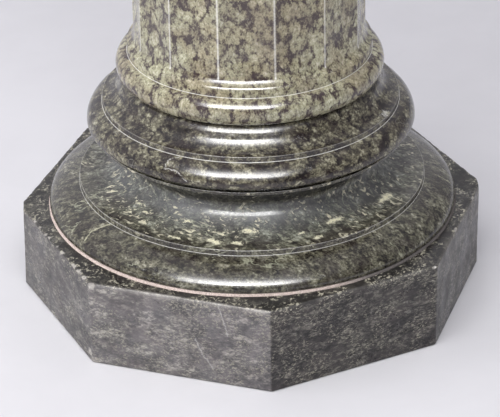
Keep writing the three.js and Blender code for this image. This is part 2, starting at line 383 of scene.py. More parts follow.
def tintStone(tree, look, place, bent, colour):
    # slow changes of tint across the stone, and dark clouds in it
    drift = spread(tree, cloud(tree, place, look["driftScale"], 3.0), *marble["driftRange"])
    driftShare = product(tree, drift, look["driftShare"])
    colour = blendTones(tree, driftShare, colour, tone(*look["driftTone"]), "MULTIPLY")
    heavy = spread(tree, cloud(tree, bent, look["shadowScale"], 5.0, 0.7), *marble["shadowRange"])
    return blendTones(tree, product(tree, heavy, look["shadowShare"]), colour, tone(*look["shadowTone"]))


def dustLightAndSheenStone(tree, look, place, height, inBand, colour):
    # dust on the side that faces one way, with painted light brightening that side, and a darker polished top
    turn, share = look["dustAndLight"]
    toSide = dotWith(tree, addNode(tree, "TexCoord", output=1), heading(turn))
    dustAndLight = spread(tree, toSide, *marble["dustAndLightFacing"], 0.0, share)
    patches = cloud(tree, place, marble["dustAndLightScale"], 4.0, 0.7)
    dustAndLight = product(tree, dustAndLight, spread(tree, patches, *marble["dustAndLightPatches"]))
    # painted light: this brightens the side that faces the lamps
    colour = blendTones(tree, dustAndLight, colour, marble["paintedLightGain"], "MULTIPLY")
    cover = product(tree, dustAndLight, marble["dustCover"])
    colour = blendTones(tree, cover, colour, tone(*marble["dustTone"]))
    topHeight, share = look["polishedTop"]
    onTop = spread(tree, height, (topHeight - 1) * mm, topHeight * mm, 0.0, share)
    colour = blendTones(tree, onTop, colour, tone(*marble["topTone"]), "MULTIPLY")
    # painted sheen: a brighter band, with a milky film laid on it in place of a broad reflection
    colour = blendTones(tree, inBand, colour, look["sheenGain"], "MULTIPLY")
    sheen = spread(tree, cloud(tree, place, marble["sheenScale"]), *marble["sheenRange"], *look["sheen"])
    sheen = product(tree, sheen, inBand, spread(tree, height, *marble["sheenHeights"]))
    return blendTones(tree, sheen, colour, tone(*marble["sheenTone"]))


def fleckStone(tree, look, place, bent, height, colour):
    # pale flecks, thick in some places and absent in others
    drawn = addNode(tree, "Mapping", {"Vector": bent, "Rotation": (0, 0, math.radians(look["fleckTurn"])),
                                      "Scale": look["fleckStretch"]})
    field = cloud(tree, drawn, look["fleckScale"], 4.0, 0.6, 0.6)
    flecks = spread(tree, field, look["fleckFrom"], look["fleckFrom"] + marble["fleckSoft"])
    area = spread(tree, cloud(tree, place, look["fleckAreaScale"], 2.0), *marble["fleckArea"])
    fadeLow, fadeHigh = (look["fleckAbove"] + v for v in marble["fleckFade"])
    above = spread(tree, height, fadeLow, fadeHigh, look["fleckBelowShare"], 1.0)
    share = product(tree, flecks, area, above, look["fleckShare"])
    colour = blendTones(tree, share, colour, tone(*look["fleckTone"]))
    # thin pale veins along the level lines of a slow cloud
    offLine = offMiddle(tree, cloud(tree, drawn, look["veinScale"], 5.0, 0.55, 0.3))
    area = spread(tree, cloud(tree, place, look["veinAreaScale"], 3.0), *marble["veinArea"])
    share = product(tree, spread(tree, offLine, look["veinWidth"], 0.0), area, look["veinShare"])
    colour = blendTones(tree, share, colour, tone(*look["veinTone"]))
    # veins and patches that show one by one in the photograph
    for mark in look["marks"]:
        near = alongStrokes(tree, place, mark["strokes"], mark["ragged"])
        colour = blendTones(tree, product(tree, near, mark["share"]), colour, tone(*mark["tone"]))
    return colour


def shadeWearAndGlintStone(tree, look, place, height, colour):
    # painted shade in the deep hollow under the ring, between two heights
    low, high, most = look["hollowShade"]
    shadeInHollow = product(tree, betweenHeights(tree, height, low, high, 7, 3), most)
    colour = blendTones(tree, shadeInHollow, colour, tone(*marble["hollowShadeTone"]))
    # bruised arrises and chips, and a painted glint at the ends of the shaft's arrises
    wearAndGlint = addNode(tree, "Attribute", output=2, attribute_name="wearAndGlint")
    bruises = cloud(tree, place, marble["bruiseScale"], 3.0, 0.7)
    broken = spread(tree, bruises, *marble["brokenRange"], marble["brokenLeast"], 1.0)
    share = calc(tree, "MAXIMUM", product(tree, wearAndGlint, broken, look["wearAndGlintShare"]), 0.0)
    return blendTones(tree, share, colour, tone(*look["wearAndGlintTone"])), share


def polishStone(tree, look, place, height, grains, wearAndGlintShare, inBand):
    # smudges, hairline scratches and the fine rings left by turning
    smudge = cloud(tree, place, marble["smudgeScale"])
    smudge = spread(tree, smudge, *marble["smudgeRange"], *look["gloss"])
    rough = calc(tree, "MULTIPLY_ADD", wearAndGlintShare, marble["wornRough"], smudge)
    rough = calc(tree, "MULTIPLY_ADD", grains, marble["grainRough"], rough)
    rough = calc(tree, "MULTIPLY_ADD", inBand, look["duller"], rough)
    stroke = addNode(tree, "Mapping", {"Vector": place, "Rotation": marble["scratchTurn"],
                                       "Scale": marble["scratchStretch"]})
    scratch = offMiddle(tree, cloud(tree, stroke, marble["scratchScale"], 3.0))
    scratch = spread(tree, scratch, marble["scratchWidth"], 0.0)
    flat = addNode(tree, "VectorMath", {0: place, 1: (1, 1, 0)}, operation="MULTIPLY")
    radius = addNode(tree, "VectorMath", {0: flat}, output=1, operation="LENGTH")
    profile = addNode(tree, "CombineXYZ", {0: radius, 1: height, 2: 0.0})
    relief = product(tree, grains, look["pitShare"])
    relief = calc(tree, "MULTIPLY_ADD", scratch, -marble["scratchDepth"], relief)
    rings = cloud(tree, profile, marble["ringScale"], 4.0, 0.7)
    relief = calc(tree, "MULTIPLY_ADD", rings, look["ringShare"], relief)
    waves = cloud(tree, place, marble["waveScale"], 2.0)
    relief = calc(tree, "MULTIPLY_ADD", waves, look["waveShare"], relief)
    bump = addNode(tree, "Bump", {"Strength": look["bumpStrength"], "Distance": marble["reliefHeight"],
                                  "Height": relief})
    return rough, bump


def makeMarble(name, look):
    material, tree = newMaterial(name)
    place, turned, bent = stoneSpace(tree, look)
    height = addNode(tree, "SeparateXYZ", {0: place}, output=2)
    inBand = betweenHeights(tree, height, *look["dullBand"], 2, 6)
    colour, grains = mixStone(tree, look, turned, bent)
    colour = tintStone(tree, look, place, bent, colour)
    colour = dustLightAndSheenStone(tree, look, place, height, inBand, colour)
    colour = fleckStone(tree, look, place, bent, height, colour)
    colour, wearAndGlintShare = shadeWearAndGlintStone(tree, look, place, height, colour)
    rough, bump = polishStone(tree, look, place, height, grains, wearAndGlintShare, inBand)
    shader = addNode(tree, "BsdfPrincipled", {
        "Base Color": colour, "Roughness": rough, "IOR": marble["glassy"], "Normal": bump,
        "Coat Weight": look["coat"], "Coat Roughness": look["coatRough"], "Coat IOR": marble["glassy"],
        "Coat Normal": bump})
    addNode(tree, "OutputMaterial", {"Surface": shader})
    print("material", name)
    return material


# Plinth and top slab: octagonal blocks

blockSteps = {
    "bends": 6, "cornerLeast": 0.4,  # steps over an eased edge, and the least rounding of an upright arris
    "margin": 16,  # how far in from the edge the top is finely divided, in millimetres
    "topRings": (24, 40, 70), "middle": 8,  # rings farther in, and the size of the coarse middle
    "rubReach": 2.2, "rubAcross": 2.5, "rubDrop": 0.8,  # how far from the arris it is rubbed
    "smallSize": (1.0, 2.6), "smallBite": (0.25, 0.5),  # from and to, for the small chips
    "chipSlope": 0.7,  # how far upwards a chip in the top edge faces
}


def octagonRing(across, inset, look):
    # one ring of points round an octagon with a flat side towards -Y; sidesOut is how far each side
    # stands out beyond a regular one
    corner = max(look["corner"] - inset, blockSteps["cornerLeast"])
    far = [across / 2 - inset + out - corner for out in look["sidesOut"]]
    slant = math.sqrt(0.5)
    made = []
    for side in range(8):
        turn = math.radians(45 * side)
        outward, along = (math.sin(turn), -math.cos(turn)), (math.cos(turn), math.sin(turn))
        start = -(far[side - 1] - far[side] * slant) / slant
        end = (far[(side + 1) % 8] - far[side] * slant) / slant
        for i in range(look["sideSteps"]):
            reach = start + (end - start) * i / look["sideSteps"]
            made.append([(far[side] + corner) * u + reach * v for u, v in zip(outward, along)])
        for i in range(look["cornerSteps"]):
            bend = turn + math.radians(45) * i / look["cornerSteps"]
            made.append([far[side] * u + end * v + corner * w
                         for u, v, w in zip(outward, along, (math.sin(bend), -math.cos(bend)))])
    return np.array(made)


def blockRows(look, across, low, high):
    # (inset, height) of each ring, from the middle of the underside out, up and in to the middle of the top
    ease, grid, middle = look["edgeEase"], look["grid"], across / 2 - blockSteps["middle"]
    bends = [math.radians(90 * i / blockSteps["bends"]) for i in range(blockSteps["bends"] + 1)]
    side = high - low - 2 * ease
    steps = math.ceil(side / grid)
    rows = [(middle, low), (ease + 4, low), (ease + 1.5, low)]
    rows += [(ease * (1 - math.sin(t)), low + ease * (1 - math.cos(t))) for t in bends]
    rows += [(0, low + ease + side * i / steps) for i in range(1, steps)]
    rows += [(ease * (1 - math.cos(t)), high - ease * (1 - math.sin(t))) for t in bends]
    rows += [(inset, high) for inset in np.arange(ease + grid, blockSteps["margin"], grid)]
    return rows + [(inset, high) for inset in (*blockSteps["topRings"], middle)]


def insetOf(flat, across, out):
    # how far inside the octagon's sides each point is
    far = np.full(len(flat), -1e9)
    for side in range(8):
        far = np.maximum(far, flat @ np.array(heading(45 * side)) - out[side])
    return across / 2 - far


def rubArrises(flat, look, across, high):
    # the upper arrises are rubbed unevenly, and pale where they are
    seed = look["seed"]
    inward = flat * (-1, -1, 0) / np.maximum(np.hypot(flat[:, 0], flat[:, 1]), 1)[:, None]
    nearTop = np.exp(-((high - flat[:, 2]) / blockSteps["rubReach"]) ** 2)
    offSide = np.abs(insetOf(flat, across, look["sidesOut"]))
    edge = np.clip(1 - offSide / blockSteps["rubAcross"], 0, 1) * nearTop
    rub = (ripple(flat, 7, 0.5, seed) + ripple(flat, 2.2, 0.5, seed + 5)) * 0.7 + 0.25
    rub = np.clip(rub, 0, 1) * edge * look["rubDepth"]
    flat = flat + inward * rub[:, None] - np.outer(rub, (0, 0, blockSteps["rubDrop"]))
    sideOf = np.round(np.arctan2(flat[:, 0], -flat[:, 1]) / math.radians(45)).astype(int) % 8
    patchy = 0.35 + 0.65 * np.clip(ripple(flat, 16, 1.6, seed + 9) + 0.35, 0, 1)
    return flat, edge * np.array(look["edgeWorn"])[sideOf] * patchy


def breakChips(flat, wearAndGlint, look, across, low, high):
    # each chip is a shell-shaped hollow left by a lump that broke away
    dice = random.Random(look["seed"])
    chips = [(turn, height + low, size, bite) for turn, height, size, bite in look["chips"]]
    for _ in range(look["smallChips"]):
        chips.append((dice.uniform(0, 360), high, dice.uniform(*blockSteps["smallSize"]),
                      dice.uniform(*blockSteps["smallBite"])))
    for turn, height, size, bite in chips:
        fromSide = (turn + 22.5) % 45 - 22.5
        onCorner = abs(fromSide) > 21
        reach = across / 2 / math.cos(math.radians(fromSide)) - look["corner"] * 0.08 * onCorner
        outward = heading(turn)
        outward.z = blockSteps["chipSlope"] if height > high - 4 else 0.0
        outward.normalize()
        centre = np.array(heading(turn) * reach + Vector((0, 0, height)) + outward * size * (1 - bite))
        away = flat - centre
        gap = np.linalg.norm(away, axis=1)
        roughSize = size * (1 + ripple(flat, size * 0.5, 0.22, look["seed"] + 3))
        hit = gap < roughSize
        flat[hit] = centre + away[hit] / gap[hit, None] * roughSize[hit, None]
        paler = np.clip((roughSize[hit] - gap[hit]) / (size * 0.25), 0, 1)
        wearAndGlint[hit] = np.maximum(wearAndGlint[hit], paler)
    return flat, wearAndGlint


def cutCorners(flat, look, across, low, high):
    # corners that have been cut back, by what each has lost at its top and at its foot
    for turn, topLost, footLost in look["cutCorners"]:
        facing = np.array(heading(turn))
        lost = footLost + (topLost - footLost) * (flat[:, 2] - low) / (high - low)
        limit = across / 2 / math.cos(math.radians(22.5)) - lost
        over = np.maximum(flat @ facing - limit - ripple(flat, 9, 0.4, look["seed"] + 6), 0)
        flat = flat - np.outer(over, facing)
    return flat


def makeBlock(node, look, material):
    low, high = (v.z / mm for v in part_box(node))
    across = (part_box(node)[1].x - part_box(node)[0].x) / mm
    rings = []
    for inset, height in blockRows(look, across, low, high):
        ring = octagonRing(across, inset, look)
        rings.append(np.column_stack([ring, np.full(len(ring), height)]))
    flat, wearAndGlint = rubArrises(np.vstack(rings), look, across, high)
    flat, wearAndGlint = breakChips(flat, wearAndGlint, look, across, low, high)
    flat = cutCorners(flat, look, across, low, high)
    flat[:, 2] = np.clip(flat[:, 2], low, high)
    flat = np.vstack([[0, 0, low], flat, [0, 0, high]])
    wearAndGlint = np.concatenate([[0], wearAndGlint, [0]])
    faces = ringFaces(len(rings), len(rings[0]))
    makeMesh(node + "_stone", flat, faces, wearAndGlint, material, node)


plinthLook = plainStone | {
    "slot": "plinth_marble", "seed": 4, "corner": 4.0, "edgeEase": 1.2,
    "grid": 1.3, "sideSteps": 96, "cornerSteps": 8,
    "rubDepth": 0.8, "edgeWorn": [1.0, 0.3, 0.3, 0.3, 0.3, 0.3, 0.3, 0.25], "smallChips": 26,
    "sidesOut": [0, 0, 0, 0, 0, 0, 0, 1.5],  # how far each side stands out, from the -Y side round by +X
    "cutCorners": [(-67.5, 2.2, 0.3), (112.5, 3.2, 3.2)],  # turn in degrees, and what is lost at top and foot
    "chips": [  # turn in degrees, height, size, and how deep it bites as a share of the size
        (-22.5, 63, 3.4, 0.45), (-24.5, 7, 3.2, 0.2), (-58, 65, 1.8, 0.45), (-50.5, 65, 1.5, 0.4),
        (-39.5, 65, 1.7, 0.4), (-32, 65, 1.8, 0.4), (-28.5, 65, 1.4, 0.4), (66.8, 65, 2.4, 0.45),
        (86.6, 65, 3.2, 0.6), (104, 64, 2.8, 0.5),
    ],
    "grainTurn": (4, -6, 10), "grainStretch": (0.75, 0.75, 1.6), "bendScale": 22.0, "bendAmount": 0.006,
    "patchScale": 62.0, "clumpScale": 240.0, "clumpShare": 0.8,
    "grainScale": 700.0, "grainShare": 0.5, "contrast": 0.2,
    "tones": [(0.0, (28, 26, 26)), (0.35, (51, 48, 48)), (0.62, (76, 74, 69)), (1.0, (130, 127, 117))],
    "driftScale": 16.0, "driftShare": 0.6, "driftTone": (206, 198, 212),
    "shadowScale": 50.0, "shadowShare": 0.5, "shadowTone": (66, 60, 60),
    "fleckTurn": 20, "fleckStretch": (1.3, 1, 1),
    "fleckScale": 520.0, "fleckAreaScale": 60.0, "fleckFrom": 0.535,
    "fleckShare": 0.8, "fleckTone": (190, 185, 166), "fleckAbove": 0.062, "fleckBelowShare": 0.6,
    "veinScale": 26.0, "veinAreaScale": 14.0, "veinWidth": 0.006, "veinShare": 0.3,
    "veinTone": (170, 168, 160),
    # dust and painted light on the side that faces the lamps
    "lumpScale": 150.0, "lumpShare": 0.25, "lumpUneven": 1.0, "dustAndLight": (-12, 1.0), "polishedTop": (65, 0.6),
    "marks": [
        {"tone": (206, 204, 200), "share": 0.5, "ragged": 0.004, "strokes": [
            {"line": [(3.7, 160.3, 33.6), (5.6, 160.8, 21.4), (8.4, 161.7, 11.3)], "width": 1.1},
            {"line": [(10, 162.5, 64), (11.1, 163.1, 52.4), (12.2, 163.7, 40.5)], "width": 0.9}]},
    ],
    "wearAndGlintShare": 0.75, "wearAndGlintTone": (200, 195, 188), "gloss": (0.24, 0.42), "coat": 0.0, "coatRough": 0.1,
    "pitShare": 0.35, "ringShare": 0.0, "bumpStrength": 0.3,
}
makeBlock("plinth", plinthLook, makeMarble("plinthMarble", plinthLook))


# Mortar bed

mortarLook = {
    "slot": "mortar", "around": 480, "longest": 1.2, "slope": 1.6, "seed": 7,
    "rippleSize": 6.0, "rippleHeight": 0.3,
    "fresh": (232, 214, 206), "shaded": (104, 98, 96), "gritTone": (150, 132, 122),
    "gritScale": 900.0, "gritHeight": 0.0004, "bumpStrength": 0.6, "roughness": 0.85,
    "shadeTurn": 108.0, "shadeReach": (0.06, 0.115),  # painted shade: the side the bed lies in shade on, and how far out that starts
}


def makeMortar(look):
    material, tree = newMaterial("mortar")
    place = addNode(tree, "TexCoord", output=3)
    grit = cloud(tree, place, look["gritScale"], 3.0, 0.7)
    side = dotWith(tree, place, heading(look["shadeTurn"]))
    uneven = calc(tree, "MULTIPLY_ADD", cloud(tree, place, 30.0), 0.04, side)
    # painted shade: the bed darkens towards the side away from the lamps
    shade = spread(tree, uneven, *look["shadeReach"])
    colour = blendTones(tree, shade, tone(*look["fresh"]), tone(*look["shaded"]))
    gritShare = spread(tree, grit, 0.35, 0.65, 0.0, 0.45)
    colour = blendTones(tree, gritShare, colour, tone(*look["gritTone"]), "MULTIPLY")
    bump = addNode(tree, "Bump", {"Strength": look["bumpStrength"], "Distance": look["gritHeight"],
                                  "Height": grit})
    shader = addNode(tree, "BsdfPrincipled", {"Base Color": colour, "Roughness": look["roughness"],
                                              "Normal": bump})
    addNode(tree, "OutputMaterial", {"Surface": shader})
    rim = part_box("mortar_bed")[1].x / mm
    high = (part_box("mortar_bed")[1].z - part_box("mortar_bed")[0].z) / mm
    outline = [at(rim, 0, 0.1), at(rim - 0.4, high * 0.6, 0.4), at(rim - look["slope"], high, 0.1)]
    makeTurned("mortar_bed", outline, look, material)


makeMortar(mortarLook)


# Base disc: broad torus, fillet, scotia and the lip above it

discLook = plainStone | {
    "slot": "disc_marble", "around": 400, "longest": 1.2, "seed": 11,
    "rippleSize": 34.0, "rippleHeight": 0.05,
    "footRadius": 150.4, "widestRadius": 151.3, "arrisRadius": 128.3, "filletRadius": 128.0,
    "throatRadius": 93.5, "lipRadius": 115.2, "stepRadius": 112.8, "underLipRadius": 114.0,
    "footRise": 1.7, "torusRise": 15.9, "filletRise": 4.0, "lowerScotiaRise": 17.3, "upperScotiaRise": 19.6,
    "lipHeight": 2.2, "stepHeight": 3.6,
    "grainTurn": (0, 0, 20), "grainStretch": (0.85, 1.15, 1.1), "bendScale": 26.0, "bendAmount": 0.012,
    "patchScale": 85.0, "clumpScale": 240.0, "clumpShare": 1.0,
    "grainScale": 620.0, "grainShare": 0.8, "contrast": 0.33,
    "tones": [(0.0, (30, 27, 25)), (0.3, (60, 57, 48)), (0.55, (98, 96, 80)),
              (0.8, (134, 132, 115)), (1.0, (178, 176, 160))],
    "driftScale": 18.0, "driftShare": 0.45, "driftTone": (208, 200, 192),
    "shadowScale": 60.0, "shadowShare": 0.62, "shadowTone": (44, 36, 35),
    "fleckTurn": 18, "fleckStretch": (0.75, 1.1, 1.2),
    "fleckScale": 240.0, "fleckAreaScale": 34.0, "fleckFrom": 0.57,
    "fleckShare": 0.9, "fleckTone": (240, 234, 206), "fleckAbove": 0.0885, "fleckBelowShare": 0.12,
    "veinScale": 22.0, "veinAreaScale": 20.0, "veinWidth": 0.008, "veinShare": 0.55,
    "veinTone": (196, 198, 172),
    # painted shade darkens the upper scotia, under the lip and the ring, from 104 to 127 mm high
    "lumpScale": 170.0, "lumpShare": 0.32, "lumpUneven": 1.0, "hollowShade": (104, 127, 0.7),
    # painted sheen in the scotia: a brighter, bluer band with a milky film
    "dullBand": (88, 110), "duller": 0.28, "sheenGain": (1.5, 1.6, 1.75, 1), "sheen": (0.4, 0.16),
    "marks": [
        {"tone": (208, 206, 176), "share": 0.75, "ragged": 0.003, "strokes": [
            {"line": [(-35.8, 147.6, 75.6), (-36.3, 140.7, 80.1), (-33.8, 128.9, 84.4)], "width": 1.1},
            {"line": [(-82, 139.7, 80.6), (-77.4, 127.9, 88.5)], "width": 1.0},
            {"line": [(-46.5, 116.2, 89.5), (-44.2, 102.8, 94)], "width": 1.1},
            {"line": [(106.9, 126.5, 88.5), (105.8, 137, 82), (105.1, 147.4, 75.8)], "width": 1.0}]},
        {"tone": (255, 250, 218), "share": 1.0, "ragged": 0.008, "strokes": [
            {"line": [(15.8, 106, 92.4), (19.4, 107, 92.2)], "width": 3.2},
            {"line": [(3.6, 117, 89.4), (7.2, 120, 89)], "width": 3.6},
            {"line": [(12.2, 118.3, 89.2), (14.2, 118.3, 89.2)], "width": 2.6},
            {"line": [(75, 112, 90.5), (81, 112.5, 90.5)], "width": 3.8},
            {"line": [(48.5, 109, 91.4), (54, 108.2, 91.6)], "width": 2.9},
            {"line": [(-35, 104.3, 93.2), (-31.8, 104.3, 93.2)], "width": 1.7},
            {"line": [(-10.5, 120.9, 88.9), (-7, 120.9, 88.9)], "width": 1.8},
            {"line": [(-9, 103.5, 93.6), (-6, 103.5, 93.6)], "width": 1.7},
            {"line": [(35.7, 112.6, 90.3), (37.7, 112.6, 90.3)], "width": 1.7},
            {"line": [(40, 120, 89), (42.6, 120, 89)], "width": 1.8}]},
    ],
    "wearAndGlintShare": 0.85, "wearAndGlintTone": (206, 204, 198), "gloss": (0.15, 0.3), "coat": 0.45, "coatRough": 0.09,
    "bumpStrength": 0.22,
}


def discOutline(s):
    foot = at(s["footRadius"], 0, 0.3)
    widest = at(s["widestRadius"], s["footRise"])
    arris = at(s["arrisRadius"], widest[1] + s["torusRise"], 0.9, 1.0)
    fillet = at(s["filletRadius"], arris[1] + s["filletRise"], 0.6, 0.55)
    throat = at(s["throatRadius"], fillet[1] + s["lowerScotiaRise"])
    underLip = at(s["underLipRadius"], throat[1] + s["upperScotiaRise"], 0.3)
    lip = at(s["lipRadius"], underLip[1], 0.4, 0.3)
    lipTop = at(s["lipRadius"], lip[1] + s["lipHeight"], 0.5, 0.5)
    step = at(s["stepRadius"], lipTop[1])
    stepTop = at(s["stepRadius"], step[1] + s["stepHeight"])
    return [foot, *sweepTo(foot, widest, -60, 0), *sweepTo(widest, arris, 0, 54), fillet,
            *sweepTo(fillet, throat, 270, 180), *sweepTo(throat, underLip, 180, 102), lip, lipTop,
            step, stepTop]


makeTurned("base_disc", discOutline(discLook), discLook, makeMarble("discMarble", discLook))


# Base ring: torus, fillet and ogee

ringLook = plainStone | {
    "slot": "ring_marble", "around": 400, "longest": 1.2, "seed": 17,
    "rippleSize": 30.0, "rippleHeight": 0.05,
    "footRadius": 117.2, "widestRadius": 120.4, "arrisRadius": 108.9, "filletRadius": 108.6,
    "hollowRadius": 96.7, "shoulderRadius": 95.0, "topRadius": 91.4,
    "footRise": 2.2, "torusRise": 14.1, "filletRise": 4.0, "hollowRise": 8.1,
    "shoulderRise": 3.5, "topRise": 4.0,
    "shift": (0.3, 0.1, 0.7), "grainTurn": (10, 0, -15), "grainStretch": (1.0, 1.0, 1.2), "bendScale": 30.0,
    "bendAmount": 0.008,
    "patchScale": 100.0, "clumpScale": 270.0, "clumpShare": 1.0,
    "grainScale": 700.0, "grainShare": 0.8, "contrast": 0.33,
    "tones": [(0.0, (34, 29, 29)), (0.3, (64, 59, 52)), (0.55, (102, 98, 82)),
              (0.8, (140, 136, 114)), (1.0, (182, 179, 158))],
    "driftScale": 20.0, "driftShare": 0.4, "driftTone": (208, 200, 200),
    "shadowScale": 85.0, "shadowShare": 0.6, "shadowTone": (46, 36, 37),
    "fleckScale": 170.0, "fleckAreaScale": 30.0, "fleckFrom": 0.62,
    "fleckShare": 0.4, "fleckTone": (190, 186, 160), "fleckAbove": 0.1, "fleckBelowShare": 1.0,
    "veinScale": 22.0, "veinAreaScale": 18.0, "veinWidth": 0.006, "veinShare": 0.3,
    "veinTone": (196, 194, 182),
    "lumpScale": 118.0, "lumpShare": 0.5, "lumpUneven": 0.9,
    "marks": [
        {"tone": (214, 212, 206), "share": 0.8, "ragged": 0.004, "strokes": [
            {"line": [(-8.2, 109.7, 147.6), (-11.9, 114.1, 145.6), (-12, 118.3, 141.2),
                      (-7.6, 118.4, 141), (-3.6, 120.3, 135.7)], "width": 0.7}]},
        {"tone": (222, 221, 214), "share": 0.8, "ragged": 0.012, "strokes": [
            {"line": [(82.4, 106.4, 152.2), (85, 105.4, 152.6)], "width": 2.6}]},
    ],
    "wearAndGlintShare": 1.0, "wearAndGlintTone": (212, 210, 204), "gloss": (0.13, 0.28), "coat": 0.3, "coatRough": 0.08,
}


def ringOutline(s):
    foot = at(s["footRadius"], 0, 0.3)
    widest = at(s["widestRadius"], s["footRise"])
    arris = at(s["arrisRadius"], widest[1] + s["torusRise"], 0.9, 1.0)
    fillet = at(s["filletRadius"], arris[1] + s["filletRise"], 0.6, 0.25)
    hollow = at(s["hollowRadius"], fillet[1] + s["hollowRise"])
    shoulder = at(s["shoulderRadius"], hollow[1] + s["shoulderRise"])
    top = at(s["topRadius"], shoulder[1] + s["topRise"], 0.3)
    return [foot, *sweepTo(foot, widest, -80, 0), *sweepTo(widest, arris, 0, 77), fillet,
            *sweepTo(fillet, hollow, 262, 206), shoulder, *sweepTo(shoulder, top, 26, 55)]


ringMarble = makeMarble("ringMarble", ringLook)
makeTurned("base_ring", ringOutline(ringLook), ringLook, ringMarble)


# Shaft: astragal, band and sweep, then the flutes, then the neck

shaftLook = plainStone | {
    "slot": "shaft_marble", "longest": 12.0, "seed": 23, "rippleSize": 40.0, "rippleHeight": 0.05,
    "seatRadius": 89.0, "ringRadius": 97.6, "bandRadius": 88.7, "footRadius": 84.0, "neckRadius": 74.0,
    "neckBandRadius": 78.5, "neckRingRadius": 84.5,
    "lowerRise": 9.9, "upperRise": 10.0, "bandHeight": 7.5, "sweepRise": 7.0, "flutedLength": 700.0,
    "neckSweepRise": 7.0, "neckBandHeight": 6.0, "neckRingHeight": 14.0, "taper": 1.3,
    "flutes": 14, "fluteTurn": 4.9, "fluteDepth": 3.0, "runOut": 16.0, "cutIntoSweep": 3.0,
    "drift": [-1.3, 0.3, 1.2, 3.0, 1.6, 0.4, 0, 0, 0, 0, 0, 0, -1.9, -1.9],  # degrees each arris strays
    "arrisWorn": [0.9, 0.65, 0.6, 0.5, 0.5, 0.6, 0.5, 0.6, 0.5, 0.6, 0.5, 0.6, 0.6, 0.75],
    "arrisEased": 0.08, "arrisFrom": 0.955, "arrisTo": 0.99,  # millimetres off an arris, and where it is pale
    "tipGlint": 0.8, "tipAt": 0.6, "tipReach": 0.7,  # painted glint: how much brighter an arris is at its ends, and where
    "shift": (0.1, 0.6, 0.2), "grainTurn": (0, 8, 0), "grainStretch": (1.1, 1.1, 0.85), "bendScale": 40.0,
    "bendAmount": 0.006,
    "patchScale": 110.0, "clumpScale": 280.0, "clumpShare": 0.7,
    "grainScale": 760.0, "grainShare": 1.0, "contrast": 0.38,
    "tones": [(0.0, (72, 62, 63)), (0.2, (106, 98, 88)), (0.45, (156, 153, 127)),
              (0.75, (188, 186, 158)), (1.0, (216, 213, 193))],
    "driftScale": 22.0, "driftShare": 0.7, "driftTone": (220, 204, 196),
    "shadowScale": 70.0, "shadowShare": 0.22, "shadowTone": (92, 82, 84),
    "fleckScale": 260.0, "fleckAreaScale": 40.0, "fleckFrom": 0.64,
    "fleckShare": 0.4, "fleckTone": (212, 208, 186), "fleckAbove": 0.1, "fleckBelowShare": 1.0,
    "lumpScale": 140.0, "lumpShare": 0.52, "lumpUneven": 0.65,
    "veinScale": 20.0, "veinAreaScale": 14.0, "veinWidth": 0.005, "veinShare": 0.2,
    "veinTone": (206, 202, 180),
    "wearAndGlintShare": 1.0, "wearAndGlintTone": (240, 238, 232), "gloss": (0.1, 0.2), "ringShare": 0.6,
}
acrossFlute = [-1, -0.985, -0.96, -0.92, -0.86, -0.77, -0.65, -0.5, -0.34, -0.17, 0,
               0.17, 0.34, 0.5, 0.65, 0.77, 0.86, 0.92, 0.96, 0.985]


def shaftOutline(s):
    seat = at(s["seatRadius"], 0, 0.3)
    widest = at(s["ringRadius"], s["lowerRise"])
    arris = at(s["seatRadius"], widest[1] + s["upperRise"], 0.9, 1.0)
    band = at(s["bandRadius"], arris[1] + s["bandHeight"])
    start = at(s["footRadius"], band[1] + s["sweepRise"])
    made = [seat, *sweepTo(seat, widest, -90, 0), *sweepTo(widest, arris, 0, 90), band,
            *sweepTo(band, start, 240, 180, 0.5)]
    nearEnd = list(np.arange(1, s["runOut"] + 2, 1.5))
    heights = nearEnd + list(np.linspace(24, s["flutedLength"] - 24, 60))
    heights += [s["flutedLength"] - h for h in reversed(nearEnd[:11])]
    narrowing = s["footRadius"] - s["neckRadius"]
    for h in heights:
        made.append(at(s["footRadius"] - narrowing * (h / s["flutedLength"]) ** s["taper"], start[1] + h))
    end = at(s["neckRadius"], start[1] + s["flutedLength"])
    neckBand = at(s["neckBandRadius"], end[1] + s["neckSweepRise"], 0.4)
    bandTop = at(s["neckBandRadius"], neckBand[1] + s["neckBandHeight"], 0.5, 0.5)
    neckWidest = at(s["neckRingRadius"], bandTop[1] + s["neckRingHeight"] / 2)
    neckTop = at(s["neckBandRadius"], bandTop[1] + s["neckRingHeight"], 0.3)
    return made + [end, *sweepTo(end, neckBand, 180, 120), bandTop, *sweepTo(bandTop, neckWidest, -90, 0),
                   *sweepTo(neckWidest, neckTop, 0, 90)]


def carveFlutes(points, wearAndGlint):
    s = shaftLook
    start = s["lowerRise"] + s["upperRise"] + s["bandHeight"] + s["sweepRise"]
    across = np.tile(np.array(acrossFlute), s["flutes"])
    height = points[:, 0, 2] - start
    fromCut = np.minimum(height + s["cutIntoSweep"], s["flutedLength"] + s["cutIntoSweep"] - height)
    toEnd = np.clip(fromCut / s["runOut"], 0, 1)
    depth = s["fluteDepth"] * toEnd ** 2 * (3 - 2 * toEnd)
    radius = np.hypot(points[:, :, 0], points[:, :, 1])
    onArris = (np.abs(across) == 1) * s["arrisEased"]
    cut = np.outer(depth, 1 - across ** 2) + np.outer(depth > 0, onArris)
    share = 1 - cut / np.maximum(radius, 1)
    points[:, :, :2] *= share[:, :, None]
    # the arrises are pale with wear, and a painted glint makes them brighter where they begin and end
    pale = np.clip((np.abs(across) - s["arrisFrom"]) / (s["arrisTo"] - s["arrisFrom"]), 0, 1)
    pale *= np.repeat(s["arrisWorn"], len(acrossFlute))
    # painted glint near each end of an arris
    glint = 1 + s["tipGlint"] * np.exp(-((fromCut - s["tipAt"]) / s["tipReach"]) ** 2)
    return points, np.maximum(wearAndGlint, np.outer((fromCut > 0) * glint, pale))


